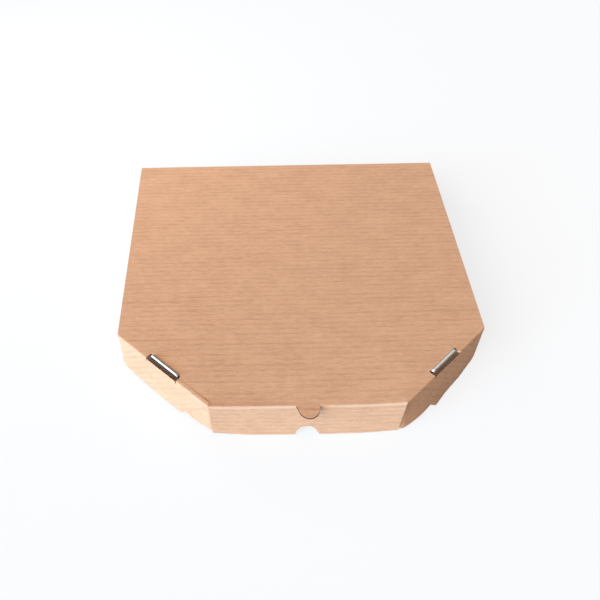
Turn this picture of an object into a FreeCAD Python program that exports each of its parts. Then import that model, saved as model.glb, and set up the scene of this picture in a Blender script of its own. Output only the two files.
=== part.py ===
"""A glue-free pizza box with its two front corners cut off, folded from one sheet of board.

Millimetres. X is to the right, Y to the back, Z up. The origin is the middle of the base's
underside, halfway between the front fold and the back fold. The front faces -Y.

The sheet is split into five sub-parts at the folds that move: the tray, the lid, and the three
flaps that hang from the lid outside the tray.
"""
import FreeCAD, Part
import os
import Sketcher

SIZES = [
    ("lid_width", 300, "across the lid, left edge to right edge"),
    ("box_depth", 294, "front fold to back fold, outside"),
    ("box_height", 40, "floor to the lid's top"),
    ("board", 2.5, "thickness of the corrugated board"),
    ("corner_front", 75, "how far each front corner is cut back along the front"),
    ("corner_side", 70, "how far each front corner is cut back along the side"),
    ("fold_round", 1.9, "outer radius of a fold"),
    ("flap_fit", 0.4, "gap between the tray and the flaps outside it"),
    ("seam", 0.3, "gap between the two halves of a moving fold, and between two ears"),
    ("side_lap", 1.0, "how far the lid stands out past each side wall"),
    ("front_drop", 39.2, "lid's top to the free edge of the front flap"),
    ("front_rise", 2.5, "how much shorter the front flap is at its ends"),
    ("front_rise_run", 28, "length at each end over which the front flap shortens"),
    ("front_end_gap", 0.6, "set-in of the front flap's ends at the fold"),
    ("front_end_taper", 1.6, "further set-in of those ends at the free edge"),
    ("front_lean", 3.0, "degrees that the front flap stands out from upright"),
    ("corner_drop", 38, "lid's top to the free edge of a corner flap"),
    ("corner_end_gap", 1.2, "set-in of a corner flap's square back end"),
    ("corner_end_round", 5.0, "radius at that end's free corner"),
    ("left_cut", 30, "how far along its fold the left corner flap's front cut runs"),
    ("right_cut", 38, "the same on the right corner flap"),
    ("left_lean", 1.5, "degrees that the left corner flap stands out from upright"),
    ("right_lean", 6.0, "degrees that the right corner flap stands out from upright"),
    ("thumb_width", 17, "width of the thumb tab"),
    ("thumb_length", 11.2, "how far the thumb tab stands out from the front fold"),
    ("thumb_round", 8.0, "radius of the thumb tab's corners"),
    ("thumb_cut", 0.3, "width of the knife's cut round the thumb tab"),
    ("notch_width", 18.6, "width of the notch in the front flap's free edge"),
    ("notch_height", 11.5, "height of that notch"),
    ("notch_round", 9.2, "radius of that notch's upper corners, at most half its width"),
    ("hole_width", 20, "width of the finger hole in the tray's front fold"),
    ("hole_rise", 12.5, "how far that hole goes up the front wall"),
    ("hole_reach", 10, "how far that hole goes into the base"),
    ("hole_round", 7.0, "radius of that hole's corners"),
    ("ear_lap", 48, "how far the two ears of a corner overlap"),
    ("ear_foot_end", 3.5, "how far from the corner's ends the ears' free foot stops"),
    ("tab_width", 30, "width of the tab on an outer ear"),
    ("tab_rise", 1.5, "how far that tab stands above the lid"),
    ("tab_round", 2.0, "radius of that tab's upper corners"),
    ("slot_play", 0.4, "gap between the tab and the inner edge of the lid's slot"),
    ("slot_end_play", 2.0, "gap between the tab and each end of that slot"),
    ("slot_lip", 1.0, "depth of the flap's bare edge in the slot below the lid's top"),
]

doc = FreeCAD.newDocument("PizzaBox")
sheet = doc.addObject("Spreadsheet::Sheet", "Sizes")
for row, (alias, value, meaning) in enumerate(SIZES, 1):
    sheet.set("A%d" % row, alias)
    sheet.set("B%d" % row, str(value))
    sheet.set("C%d" % row, meaning)
    sheet.setAlias("B%d" % row, alias)
doc.recompute()


def mm(alias):
    """One size from the sheet, as a number."""
    return float(getattr(sheet, alias))


# Lines and levels that several sub-parts share, as expressions on the sheet.
HALF_WIDTH = "Sizes.lid_width / 2"
FRONT = "-Sizes.box_depth / 2"
BACK = "Sizes.box_depth / 2"
LID_UNDER = "(Sizes.box_height - Sizes.board)"
WALL_TOP = "(Sizes.box_height - Sizes.board - Sizes.seam)"
SIDE = "(Sizes.lid_width / 2 - Sizes.side_lap)"
SIDE_IN = "(Sizes.lid_width / 2 - Sizes.side_lap - Sizes.board)"
WALL_FRONT = "(-Sizes.box_depth / 2 + Sizes.board + Sizes.flap_fit)"
WALL_FRONT_IN = "(-Sizes.box_depth / 2 + 2 * Sizes.board + Sizes.flap_fit)"
WALL_BACK_IN = "(Sizes.box_depth / 2 - Sizes.board)"
FOLD_ROUND = "min(Sizes.fold_round; 0.9 * Sizes.board)"
SLOT_HALF = "(Sizes.tab_width / 2 + Sizes.slot_end_play)"

# The cut-off corner on the right: its fold's length, middle and direction.
CORNER_LONG = "sqrt(Sizes.corner_front ^ 2 + Sizes.corner_side ^ 2)"
CORNER_X = "(Sizes.lid_width / 2 - Sizes.corner_front / 2)"
CORNER_Y = "(-Sizes.box_depth / 2 + Sizes.corner_side / 2)"
ALONG_X = "(Sizes.corner_front / %s)" % CORNER_LONG
ALONG_Y = "(Sizes.corner_side / %s)" % CORNER_LONG

# How far inside the lid's corner fold each layer of board lies.
ON_FOLD = "0"
EAR_FACE = "(Sizes.board + Sizes.flap_fit)"
EAR_BACK = "(2 * Sizes.board + Sizes.flap_fit)"
INNER_FACE = "(2 * Sizes.board + Sizes.flap_fit + Sizes.seam)"
INNER_BACK = "(3 * Sizes.board + Sizes.flap_fit + Sizes.seam)"
SLOT_BACK = "(2 * Sizes.board + Sizes.flap_fit + Sizes.slot_play)"

# How far an outline that cuts runs past the board that it cuts.
PAST = "1"

# What a rounding leaves of the straight edges beside it.
SPARE = "0.1"


def on_corner(inset, along):
    """The point inset inside the corner's fold and along it from its middle, to the side."""
    x = "%s + (%s) * %s - %s * %s" % (CORNER_X, along, ALONG_X, inset, ALONG_Y)
    y = "%s + (%s) * %s + %s * %s" % (CORNER_Y, along, ALONG_Y, inset, ALONG_X)
    return (x, y)


def at_side(inset, side):
    """The point inset inside the corner's fold that has a given x."""
    along = "(%s - %s + %s * %s) / %s" % (side, CORNER_X, inset, ALONG_Y, ALONG_X)
    return (side, on_corner(inset, along)[1])


def at_front(inset, front):
    """The point inset inside the corner's fold that has a given y."""
    along = "(%s - %s - %s * %s) / %s" % (front, CORNER_Y, inset, ALONG_X, ALONG_Y)
    return (on_corner(inset, along)[0], front)


def mirrored(points):
    """The same outline on the other side of x = 0."""
    return [("-(%s)" % x, y) for x, y in reversed(points)]


def block(half, low, high):
    """A rectangle, even about its first axis."""
    return [("-" + half, low), (half, low), (half, high), ("-" + half, high)]


# Every outline starts as an even polygon with its first point here, before its expressions
# take its points to their places.
START = FreeCAD.Vector(100, 0, 0)


def draw(body, name, role, loops, raised=None):
    """A sketch on one of the body's own planes: closed outlines of straight lines, each point
    held by two expressions. raised is the plane's height along its own normal."""
    sketch = body.newObject("Sketcher::SketchObject", name)
    plane = [p for p in body.Origin.OriginFeatures if p.Role == role][0]
    sketch.AttachmentSupport = (plane, "")
    sketch.MapMode = "FlatFace"
    if raised:
        sketch.setExpression("AttachmentOffset.Base.z", raised)
    first = 0
    for points in loops:
        count = len(points)
        turn = FreeCAD.Rotation(FreeCAD.Vector(0, 0, 1), 360.0 / count)
        corners = [START]
        for _ in range(count - 1):
            corners.append(turn.multVec(corners[-1]))
        for i in range(count):
            sketch.addGeometry(Part.LineSegment(corners[i], corners[(i + 1) % count]), False)
        for i in range(count):
            following = first + (i + 1) % count
            sketch.addConstraint(Sketcher.Constraint("Coincident", first + i, 2, following, 1))
        for i, point in enumerate(points):
            for axis, formula, start in (("X", point[0], corners[i].x), ("Y", point[1], corners[i].y)):
                hold = Sketcher.Constraint("Distance" + axis, -1, 1, first + i, 1, start)
                label = "point%d%s" % (first + i, axis)
                sketch.renameConstraint(sketch.addConstraint(hold), label)
                sketch.setExpression("Constraints." + label, formula)
        first += count
    return sketch


def pad(body, name, sketch, length, backwards=False):
    """Thickens a sketch by an expression, along its normal or against it."""
    feature = body.newObject("PartDesign::Pad", name)
    feature.Profile = sketch
    feature.Reversed = backwards
    feature.setExpression("Length", length)
    doc.recompute()
    return feature


def pocket(body, name, sketch, length, backwards=False):
    """Cuts a sketch away by an expression, and makes sure that it did cut."""
    before = body.Shape.Volume
    feature = body.newObject("PartDesign::Pocket", name)
    feature.Profile = sketch
    feature.Reversed = backwards
    feature.setExpression("Length", length)
    doc.recompute()
    if not body.Shape.Volume < before - 1e-6:
        raise RuntimeError("%s cut nothing" % name)
    return feature


def fillet(body, name, radius, chosen):
    """Rounds the straight edges that chosen(middle, direction) picks."""
    base = body.Tip
    names = []
    for number, edge in enumerate(base.Shape.Edges, 1):
        ends = [vertex.Point for vertex in edge.Vertexes]
        if len(ends) < 2 or not near(ends[0].distanceToPoint(ends[1]), edge.Length):
            continue
        direction = (ends[1] - ends[0]).normalize()
        if chosen((ends[0] + ends[1]) / 2, direction):
            names.append("Edge%d" % number)
    if not names:
        raise RuntimeError("%s found no edge" % name)
    feature = body.newObject("PartDesign::Fillet", name)
    feature.Base = (base, names)
    feature.setExpression("Radius", radius)
    doc.recompute()
    return feature


def near(a, b):
    return abs(a - b) < 0.01


def new_body(name):
    body = doc.addObject("PartDesign::Body", name)
    body.Label = name
    return body


# Tray: base, walls, ears, the tabs on the outer ears and the finger hole.
tray = new_body("tray")

half_base = [
    at_front(EAR_FACE, WALL_FRONT),
    at_side(EAR_FACE, SIDE),
    (SIDE, BACK),
]
base_outline = draw(tray, "base_outline", "XY_Plane", [half_base + mirrored(half_base)])
pad(tray, "base_panel", base_outline, "Sizes.board")

# The ears' ends are square to the cut-off corner and overlap round its middle.
inner_ear_end = "-Sizes.ear_lap / 2"
outer_ear_end = "Sizes.ear_lap / 2"

back_outside = [
    on_corner(INNER_FACE, inner_ear_end),
    at_side(INNER_FACE, SIDE),
    (SIDE, BACK),
]
back_inside = [
    on_corner(INNER_BACK, inner_ear_end),
    at_side(INNER_BACK, SIDE_IN),
    (SIDE_IN, WALL_BACK_IN),
]
back_loop = back_outside + mirrored(back_outside) + list(reversed(mirrored(back_inside)))
back_loop += list(reversed(back_inside))
back_plan = draw(tray, "back_and_sides_plan", "XY_Plane", [back_loop], "Sizes.board")
pad(tray, "back_and_sides", back_plan, WALL_TOP + " - Sizes.board")

front_outside = [
    at_front(EAR_FACE, WALL_FRONT),
    on_corner(EAR_FACE, outer_ear_end),
]
front_inside = [
    at_front(EAR_BACK, WALL_FRONT_IN),
    on_corner(EAR_BACK, outer_ear_end),
]
front_loop = mirrored(front_outside) + front_outside + list(reversed(front_inside))
front_loop += list(reversed(mirrored(front_inside)))
front_plan = draw(tray, "front_and_ears_plan", "XY_Plane", [front_loop], "Sizes.board")
pad(tray, "front_and_ears", front_plan, WALL_TOP + " - Sizes.board")


def is_tray_fold(middle, direction):
    """The outer fold edges: those round the base's foot and the upright ones at the walls' ends."""
    side = mm("lid_width") / 2 - mm("side_lap")
    back = mm("box_depth") / 2
    front = -back + mm("board") + mm("flap_fit")
    if near(middle.z, 0):
        return near(middle.y, front) or near(middle.y, back) or near(abs(middle.x), side)
    return near(abs(direction.z), 1) and near(abs(middle.x), side) and near(middle.y, back)


fillet(tray, "tray_folds", FOLD_ROUND, is_tray_fold)

# The tabs stand on the outer ears, in the middle of the cut-off corner.


def strip(face, back, half):
    """A piece of the corner's board between two insets, even about the fold's middle."""
    ends = ["-" + half, half]
    return [on_corner(face, ends[0]), on_corner(face, ends[1]),
            on_corner(back, ends[1]), on_corner(back, ends[0])]


tab_loop = strip(EAR_FACE, EAR_BACK, "Sizes.tab_width / 2")
tab_plan = draw(tray, "tabs_plan", "XY_Plane", [tab_loop, mirrored(tab_loop)], WALL_TOP)
pad(tray, "tabs", tab_plan, "Sizes.box_height + Sizes.tab_rise - " + WALL_TOP)


def is_tab_corner(middle, direction):
    """The short level edges at the ends of the tabs' tops, square to the cut-off corner."""
    outwards = FreeCAD.Vector(mm("corner_side"), -mm("corner_front"), 0).normalize()
    if middle.x < 0:
        outwards.x = -outwards.x
    top = mm("box_height") + mm("tab_rise")
    return near(middle.z, top) and near(abs(direction.dot(outwards)), 1)


fillet(tray, "tab_corners", "Sizes.tab_round", is_tab_corner)

# A fine gap under the ears: they only stand on the base.
foot_half = "(%s / 2 - Sizes.ear_foot_end)" % CORNER_LONG
foot_outside = "(%s - %s)" % (EAR_FACE, PAST)
foot_inside = "(%s + %s)" % (INNER_BACK, PAST)
foot_loop = strip(foot_outside, foot_inside, foot_half)
foot_plan = draw(tray, "ear_foot_plan", "XY_Plane", [foot_loop, mirrored(foot_loop)], "Sizes.board")
pocket(tray, "ear_foot_gap", foot_plan, "Sizes.seam", True)

wall_hole = block("Sizes.hole_width / 2", "-" + PAST, "Sizes.hole_rise")
wall_hole_face = draw(tray, "wall_hole_face", "XZ_Plane", [wall_hole], "-" + WALL_FRONT_IN)
pocket(tray, "wall_hole", wall_hole_face, "Sizes.board + " + PAST, True)
hole_front = "%s - %s" % (WALL_FRONT, PAST)
base_hole = block("Sizes.hole_width / 2", hole_front, WALL_FRONT + " + Sizes.hole_reach")
base_hole_plan = draw(tray, "base_hole_plan", "XY_Plane", [base_hole])
pocket(tray, "base_hole", base_hole_plan, "Sizes.board", True)


def is_hole_corner(middle, direction):
    """The hole's two upper corners in the front wall and its two inner corners in the base."""
    if not near(abs(middle.x), mm("hole_width") / 2):
        return False
    front = -mm("box_depth") / 2 + mm("board") + mm("flap_fit")
    in_wall = near(middle.z, mm("hole_rise")) and near(abs(direction.y), 1)
    in_base = near(middle.y, front + mm("hole_reach")) and near(abs(direction.z), 1)
    return in_wall or in_base


hole_walls = ["Sizes.hole_width / 2", "Sizes.hole_rise - Sizes.board"]
hole_walls += ["Sizes.hole_reach - Sizes.board"]
hole_round = "min(Sizes.hole_round; %s)" % "; ".join("%s - %s" % (w, SPARE) for w in hole_walls)
fillet(tray, "hole_corners", hole_round, is_hole_corner)

# Lid: the top panel with a slot open to each cut-off corner's fold, and the thumb tab.
lid = new_body("lid")
THUMB = "Sizes.thumb_width / 2"
half_lid = [
    (THUMB, FRONT + " - Sizes.thumb_length"),
    (THUMB, FRONT),
    at_front(ON_FOLD, FRONT),
    on_corner(ON_FOLD, "-" + SLOT_HALF),
    on_corner(SLOT_BACK, "-" + SLOT_HALF),
    on_corner(SLOT_BACK, SLOT_HALF),
    on_corner(ON_FOLD, SLOT_HALF),
    at_side(ON_FOLD, HALF_WIDTH),
    (HALF_WIDTH, BACK),
]
lid_outline = draw(lid, "lid_outline", "XY_Plane", [half_lid + mirrored(half_lid)], LID_UNDER)
pad(lid, "lid_panel", lid_outline, "Sizes.board")


def is_lid_fold(middle, direction):
    """The top edges along the front, back and corner folds."""
    if not near(middle.z, mm("box_height")):
        return False
    if near(abs(middle.y), mm("box_depth") / 2):
        return True
    from_side = (mm("lid_width") / 2 - abs(middle.x)) / mm("corner_front")
    from_front = (mm("box_depth") / 2 + middle.y) / mm("corner_side")
    return near(from_side + from_front, 1)


def is_thumb_corner(middle, direction):
    tip = -mm("box_depth") / 2 - mm("thumb_length")
    return near(abs(direction.z), 1) and near(middle.y, tip)


THUMB_ROUND = "min(Sizes.thumb_round; Sizes.thumb_width / 2 - %s; Sizes.thumb_length - %s)"
THUMB_ROUND = THUMB_ROUND % (SPARE, SPARE)
fillet(lid, "lid_folds", FOLD_ROUND, is_lid_fold)
fillet(lid, "thumb_corners", THUMB_ROUND, is_thumb_corner)

# The flaps are drawn in their own frames: X along the fold, Y into the box, Z up, with the
# origin at the middle of the fold's outer line. FLAP_TOP lies just under the lid's panel.
FLAP_TOP = "-(Sizes.board + Sizes.seam)"

front_flap = new_body("front_flap")
FRONT_HALF = "(Sizes.lid_width / 2 - Sizes.corner_front - Sizes.front_end_gap)"
half_front = [
    (FRONT_HALF + " - Sizes.front_end_taper - Sizes.front_rise_run", "-Sizes.front_drop"),
    (FRONT_HALF + " - Sizes.front_end_taper", "-Sizes.front_drop + Sizes.front_rise"),
    (FRONT_HALF, FLAP_TOP),
]
front_face = draw(front_flap, "front_flap_face", "XZ_Plane", [half_front + mirrored(half_front)])
pad(front_flap, "front_flap_panel", front_face, "Sizes.board", True)
notch_low = "-Sizes.front_drop - " + PAST
notch = block("Sizes.notch_width / 2", notch_low, "-Sizes.front_drop + Sizes.notch_height")
notch_face = draw(front_flap, "notch_face", "XZ_Plane", [notch])
pocket(front_flap, "notch", notch_face, "Sizes.board")
thumb_half = "(Sizes.thumb_width / 2 + Sizes.thumb_cut)"
thumb_hole = block(thumb_half, "-(Sizes.thumb_length + Sizes.thumb_cut)", PAST)
thumb_hole_face = draw(front_flap, "thumb_hole_face", "XZ_Plane", [thumb_hole])
pocket(front_flap, "thumb_hole", thumb_hole_face, "Sizes.board")


def is_notch_corner(middle, direction):
    top = mm("notch_height") - mm("front_drop")
    return near(abs(direction.y), 1) and near(middle.z, top) and \
        near(abs(middle.x), mm("notch_width") / 2)


def is_thumb_hole_corner(middle, direction):
    low = -mm("thumb_length") - mm("thumb_cut")
    return near(abs(direction.y), 1) and near(middle.z, low) and \
        near(abs(middle.x), mm("thumb_width") / 2 + mm("thumb_cut"))


notch_round = "min(Sizes.notch_round; Sizes.notch_width / 2 - %s; Sizes.notch_height - %s)"
fillet(front_flap, "notch_corners", notch_round % (SPARE, SPARE), is_notch_corner)
fillet(front_flap, "thumb_hole_corners", THUMB_ROUND, is_thumb_hole_corner)
front_flap.setExpression("Placement.Base.y", FRONT)
front_flap.setExpression("Placement.Base.z", "Sizes.box_height")
front_flap.setExpression("Placement.Rotation.Roll", "-Sizes.front_lean")


def corner_flap(name, hand, cut, lean):
    """A corner flap: square at its back end, cut back towards its free edge at its front end,
    with a bare edge that stands up in the lid's slot. hand is -1 where its front end is at -X."""
    body = new_body(name)
    half_fold = "%s / 2" % CORNER_LONG
    half_lip = "(%s - Sizes.seam)" % SLOT_HALF
    front_slope = "%s / Sizes.corner_drop" % cut
    back_end = "%s - Sizes.corner_end_gap" % half_fold
    points = [
        ("-%s - (%s) * %s" % (half_fold, FLAP_TOP, front_slope), FLAP_TOP),
        ("-%s + %s" % (half_fold, cut), "-Sizes.corner_drop"),
        (back_end, "-Sizes.corner_drop"),
        (back_end, FLAP_TOP),
        (half_lip, FLAP_TOP),
        (half_lip, "-Sizes.slot_lip"),
        ("-" + half_lip, "-Sizes.slot_lip"),
        ("-" + half_lip, FLAP_TOP),
    ]
    if hand > 0:
        points = mirrored(points)
    face = draw(body, name + "_face", "XZ_Plane", [points])
    pad(body, name + "_panel", face, "Sizes.board", True)

    def is_back_corner(middle, direction):
        long = (mm("corner_front") ** 2 + mm("corner_side") ** 2) ** 0.5
        end = long / 2 - mm("corner_end_gap")
        return near(abs(direction.y), 1) and near(middle.z, -mm("corner_drop")) and \
            near(middle.x * -hand, end)

    fillet(body, name + "_back_corner", "Sizes.corner_end_round", is_back_corner)
    sign = "" if hand < 0 else "-"
    body.setExpression("Placement.Base.x", sign + CORNER_X)
    body.setExpression("Placement.Base.y", CORNER_Y)
    body.setExpression("Placement.Base.z", "Sizes.box_height")
    body.setExpression("Placement.Rotation.Yaw", sign + "atan(Sizes.corner_side / Sizes.corner_front)")
    body.setExpression("Placement.Rotation.Roll", "-" + lean)
    return body


right_corner_flap = corner_flap("right_corner_flap", -1, "Sizes.right_cut", "Sizes.right_lean")
left_corner_flap = corner_flap("left_corner_flap", 1, "Sizes.left_cut", "Sizes.left_lean")

doc.recompute()
for thing in doc.Objects:
    if "Invalid" in thing.State or "Error" in thing.State:
        raise RuntimeError("%s did not build: %s" % (thing.Name, thing.State))

subparts = [tray, lid, front_flap, left_corner_flap, right_corner_flap]
for body in subparts:
    if body.Shape.isNull() or not body.Shape.isValid() or len(body.Shape.Solids) != 1:
        raise RuntimeError("%s is not one sound solid" % body.Label)

os.makedirs("parts", exist_ok=True)
for body in subparts:
    body.Shape.exportStep(os.path.join("parts", body.Label + ".step"))
    box = body.Shape.BoundBox
    print("%-18s %9.1f mm3  x %.1f..%.1f  y %.1f..%.1f  z %.1f..%.1f" % (
        body.Label, body.Shape.Volume, box.XMin, box.XMax, box.YMin, box.YMax, box.ZMin, box.ZMax))
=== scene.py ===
"""A pizza box of plain brown corrugated board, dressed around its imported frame.

Metres, in the frame's axes: X to the right, Y to the back, Z up. The box is one flat sheet
whose flutes run along X. Each panel is drawn on that flat sheet as rows of points along its
flutes, and is then carried to its place round the folds beside it. A panel is real board: an
outer liner, a wavy middle layer and an inner liner, so its cut edges show open flutes.
"""

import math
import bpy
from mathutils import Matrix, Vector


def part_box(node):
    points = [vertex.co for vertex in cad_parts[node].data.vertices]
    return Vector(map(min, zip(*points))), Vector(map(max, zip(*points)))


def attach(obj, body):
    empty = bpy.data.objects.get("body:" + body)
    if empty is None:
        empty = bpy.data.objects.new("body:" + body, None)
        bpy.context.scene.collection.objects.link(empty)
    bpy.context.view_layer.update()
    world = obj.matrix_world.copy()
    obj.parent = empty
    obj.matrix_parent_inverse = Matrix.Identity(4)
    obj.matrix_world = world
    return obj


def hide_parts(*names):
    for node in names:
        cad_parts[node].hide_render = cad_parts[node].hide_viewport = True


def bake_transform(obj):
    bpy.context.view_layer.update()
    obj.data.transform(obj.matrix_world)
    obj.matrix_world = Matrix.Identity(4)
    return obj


bl_info = {
    "name": "Corrugated pizza box",
    "version": (1, 0, 0),
    "blender": (4, 5, 0),
    "location": "3D View > Sidebar > Pizza box",
    "description": "Builds a folded pizza box of corrugated board, panel by panel",
    "category": "Object",
}

import bpy
import numpy as np
from mathutils import Matrix, Vector

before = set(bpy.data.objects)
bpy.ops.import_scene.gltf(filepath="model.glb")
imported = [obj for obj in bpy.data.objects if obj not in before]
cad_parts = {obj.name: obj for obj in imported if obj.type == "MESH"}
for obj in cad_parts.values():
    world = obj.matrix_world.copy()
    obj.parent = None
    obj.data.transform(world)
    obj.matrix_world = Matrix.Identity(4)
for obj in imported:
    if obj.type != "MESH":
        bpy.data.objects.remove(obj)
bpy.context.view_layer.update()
LID_LOW, LID_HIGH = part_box("lid")
TRAY_LOW, TRAY_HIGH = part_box("tray")

MM = 0.001

# A hair's width, which keeps two rows of points or two layers of paper apart.
HAIR = 0.02 * MM

# The main planes of the folded box, from the frame.
HALF_WIDTH = round(LID_HIGH.x, 4)
BACK = round(LID_HIGH.y, 4)
FRONT = -BACK
TOP = round(LID_HIGH.z, 4)
THUMB_END = round(LID_LOW.y, 4)
SIDE = round(TRAY_HIGH.x, 4)
WALL_FRONT = round(TRAY_LOW.y, 4)
TAB_TOP = round(TRAY_HIGH.z, 4)

UP = np.array([0.0, 0.0, 1.0])

# Faces that meet at more than this angle have a sharp edge between them.
SHARP = math.radians(42)


def length_property(name, description, millimetres):
    """A length of the sidebar, given in millimetres."""
    return bpy.props.FloatProperty(
        name=name, description=description, default=millimetres * MM, unit="LENGTH")


def angle_property(name, description, degrees):
    """An angle of the sidebar, given in degrees."""
    return bpy.props.FloatProperty(
        name=name, description=description, default=math.radians(degrees), subtype="ANGLE")


def colour_property(name, description, colour):
    """A colour of the sidebar."""
    return bpy.props.FloatVectorProperty(
        name=name, description=description, default=colour, subtype="COLOR", size=3)


class BoardSizes(bpy.types.PropertyGroup):
    """The corrugated board and its folds."""

    thickness: length_property("Board", "Thickness of the board", 2.5)
    liner: length_property("Liner", "Thickness of each liner", 0.32)
    middle: length_property("Middle layer", "Thickness of the wavy layer", 0.3)
    pitch: length_property("Flute pitch", "Distance from one flute to the next", 5.2)
    rows_per_flute: bpy.props.IntProperty(
        name="Rows per flute", description="Rows of points to one flute", default=8)
    relief: length_property("Washboard", "How deep a liner sinks between two flutes", 0.05)
    fold_radius: length_property("Fold radius", "Outer radius of a fold", 2.3)
    crease_radius: length_property(
        "Crease radius", "Outer radius of the lid's pressed creases", 0.9)
    fold_reach: length_property(
        "Fold reach", "Board on each side of a moving fold's line that bends", 3.2)
    puff: length_property("Lid puff", "How far the lid sinks at its middle", 0.5)


class BoxSizes(bpy.types.PropertyGroup):
    """The outlines of the panels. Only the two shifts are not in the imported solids."""

    corner_front: length_property(
        "Corner along the front", "Cut-off corner's leg along the front", 75)
    corner_side: length_property(
        "Corner along the side", "Cut-off corner's leg along the side", 70)
    ear_inset: length_property("Outer ear", "Outer ear's face inside the lid's corner fold", 2.9)
    inner_inset: length_property("Inner ear", "Inner ear's face inside the lid's corner fold", 5.7)
    slot_depth: length_property("Slot", "Depth of the lid's slots", 5.8)
    slot_half: length_property("Slot half length", "Half the length of the lid's slots", 17)
    tab_half: length_property("Tab half width", "Half the width of the tabs in the slots", 15)
    ear_lap: length_property("Ear lap", "How far each ear runs past the corner's middle", 24)
    wall_top: length_property("Wall height", "Height of the tray's walls", 37.2)
    front_drop: length_property("Front flap", "Fold to free edge of the front flap", 39.2)
    front_lean: angle_property("Front lean", "How far the front flap stands out from upright", 3.0)
    corner_drop: length_property("Corner flaps", "Fold to free edge of the corner flaps", 38)
    left_cut: length_property(
        "Left front cut", "Run of the left flap's front cut along its fold", 30)
    right_cut: length_property(
        "Right front cut", "Run of the right flap's front cut along its fold", 38)
    thumb_half: length_property("Thumb tab half width", "Half the width of the thumb tab", 8.5)
    thumb_shift: length_property(
        "Thumb tab shift", "How far the thumb tab is cut to the right", 0.8)
    notch_shift: length_property("Notch shift", "How far the notch is cut to the right", 1.6)
    notch_half: length_property(
        "Notch half width", "Half the width of the front flap's notch", 9.3)
    notch_height: length_property("Notch height", "Height of that notch", 11.5)
    hole_half: length_property(
        "Finger hole half width", "Half the width of the tray's finger hole", 10)
    hole_rise: length_property(
        "Finger hole rise", "How far that hole goes up the front wall", 12.5)
    hole_reach: length_property("Finger hole reach", "How far that hole goes into the base", 10)


class Finish(bpy.types.PropertyGroup):
    """Colours of the board."""

    kraft: colour_property("Kraft", "Outer liner", (0.67, 0.356, 0.198))
    kraft_dark: colour_property(
        "Kraft, dark", "Darker clouds and fibres in it", (0.50, 0.252, 0.136))
    # Paler colour along the front fold: partly fibres rubbed by the fold, partly a painted highlight
    # on its rounded edge.
    worn: colour_property("Kraft, rubbed", "Fibres along the front fold", (0.76, 0.47, 0.31))
    liner: colour_property("Inner liner", "Pale liner inside the box", (0.68, 0.63, 0.57))
    liner_dark: colour_property(
        "Inner liner, dark", "Darker clouds and fibres in it", (0.56, 0.51, 0.46))
    middle: colour_property("Middle layer", "Wavy middle layer", (0.36, 0.24, 0.15))
    middle_dark: colour_property(
        "Middle layer, dark", "Darker clouds and fibres in it", (0.28, 0.18, 0.11))
    # Near-black cut paper: partly the crushed fibres' own colour, partly painted shade of the gaps
    # beside the edges that take it.
    cut: colour_property(
        "Cut edge", "Crushed fibres of the sheet's cut edges", (0.13, 0.058, 0.028))
    cut_and_shade_dark: colour_property(
        "Cut edge, dark", "Darker clouds and fibres in it", (0.08, 0.036, 0.018))


class StageSettings(bpy.types.PropertyGroup):
    """Floor, lamps and camera."""

    floor: colour_property("Floor", "Colour of the floor", (0.78, 0.78, 0.78))
    floor_glow: bpy.props.FloatProperty(
        name="Floor white", description="Share of plain white that the camera sees on the floor",
        default=0.8, subtype="FACTOR")
    key: bpy.props.FloatProperty(
        name="Key lamp", description="Strength of the lamp at the front left", default=4.35)
    key_angle: angle_property("Key softness", "How wide the key lamp looks from the box", 48.0)
    room: bpy.props.FloatProperty(
        name="Room light", description="Strength of the even light of the room", default=0.15)
    window: bpy.props.FloatProperty(
        name="Window", description="Power of the window lamp at the back left", default=1.5)
    window_size: bpy.props.FloatProperty(
        name="Window size", description="Width of that lamp", default=0.3, unit="LENGTH")
    side: bpy.props.FloatProperty(
        name="Side lamp", description="Strength of the cool, low lamp at the left", default=7.0)
    view_x: length_property("Camera X", "Camera's place", -46.0)
    view_y: length_property("Camera Y", "Camera's place", -419.9)
    view_z: length_property("Camera Z", "Camera's place", 460.9)
    yaw: angle_property("Camera yaw", "Turn about the upright axis", -0.46)
    pitch: angle_property("Camera pitch", "Tilt up from straight down", 41.99)
    roll: angle_property("Camera roll", "Turn about the line of sight", -0.75)
    lens: bpy.props.FloatProperty(
        name="Lens", description="Focal length in millimetres", default=39.9)
    shift: bpy.props.FloatProperty(
        name="Shift", description="Sideways shift of the picture", default=0.0867)


# The sheet.

def levels_between(board, low, high, special=()):
    """Places across the flutes from low to high: every flute has the same few, and each special
    place is kept, in the stead of any regular one that lies close to it."""
    step = board.pitch / board.rows_per_flute
    regular = np.arange(math.ceil(low / step), math.floor(high / step) + 1) * step
    special = np.array([s for s in (low, high, *special) if low <= s <= high])
    apart = np.abs(regular[:, None] - special[None, :]).min(axis=1)
    return np.unique(np.round(np.concatenate([regular[apart > 0.15 * step], special]), 8))


def rows(y, start, end, columns):
    """A patch of the sheet: at each level y, points evenly from start to end along the flutes."""
    start = np.broadcast_to(start, y.shape)
    end = np.broadcast_to(end, y.shape)
    share = np.linspace(0, 1, columns)
    x = start[:, None] + (end - start)[:, None] * share
    points = np.stack([x, np.repeat(y[:, None], columns, axis=1)], axis=-1).reshape(-1, 2)
    return points, grid_faces(len(y), columns)


def grid_faces(count, columns):
    """The quads of a grid of points, row by row."""
    i = np.arange(count * columns).reshape(count, columns)
    quads = np.stack([i[:-1, :-1], i[:-1, 1:], i[1:, 1:], i[1:, :-1]], axis=-1)
    return quads.reshape(-1, 4)


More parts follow.
